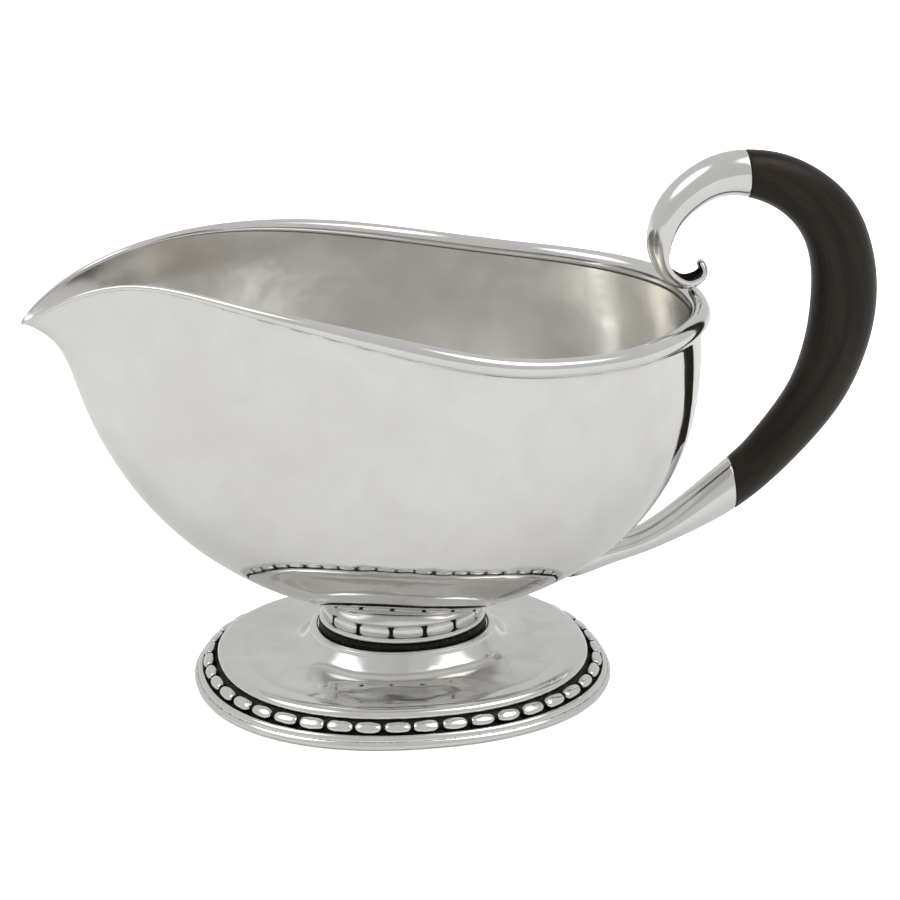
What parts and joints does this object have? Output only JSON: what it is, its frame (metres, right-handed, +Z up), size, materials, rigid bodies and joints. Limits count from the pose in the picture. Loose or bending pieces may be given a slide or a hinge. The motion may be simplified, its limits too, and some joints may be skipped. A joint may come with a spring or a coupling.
{
  "type": "silver sauce boat",
  "caption": "Footed oval silver sauce boat with a drawn spout, wired rim, beaded oval foot and a scrolled ebony handle held in silver sockets.",
  "frame": {"origin": "on the table plane, under the middle of the overall length and on the plane of symmetry; the foot's centre is 13.5 mm towards the spout from it", "axes": "+X from the spout to the handle, +Y across the bowl, +Z up"},
  "size_m": [0.2026, 0.1036, 0.1256],
  "materials": {
    "silver": "hand polished over soft hammer marks",
    "silver_beads": "polished beads with blackened recesses",
    "oxidised_silver": "blackened recess",
    "ebony": "oiled, soft sheen"
  },
  "bodies": {
    "root": {"bowl": "silver", "rim_wire": "silver", "foot_edge_moulding": "silver", "foot_bead_wire": "silver_beads", "foot_inner_wire": "silver", "foot_dish": "silver", "neck_dark_wire": "oxidised_silver", "neck_flange": "silver", "neck_bead_band": "silver_beads", "neck_tube": "silver", "handle_grip": "ebony", "upper_scroll": "silver", "lower_socket": "silver", "upper_pin": "silver", "lower_pin": "silver"}
  },
  "joints": []
}
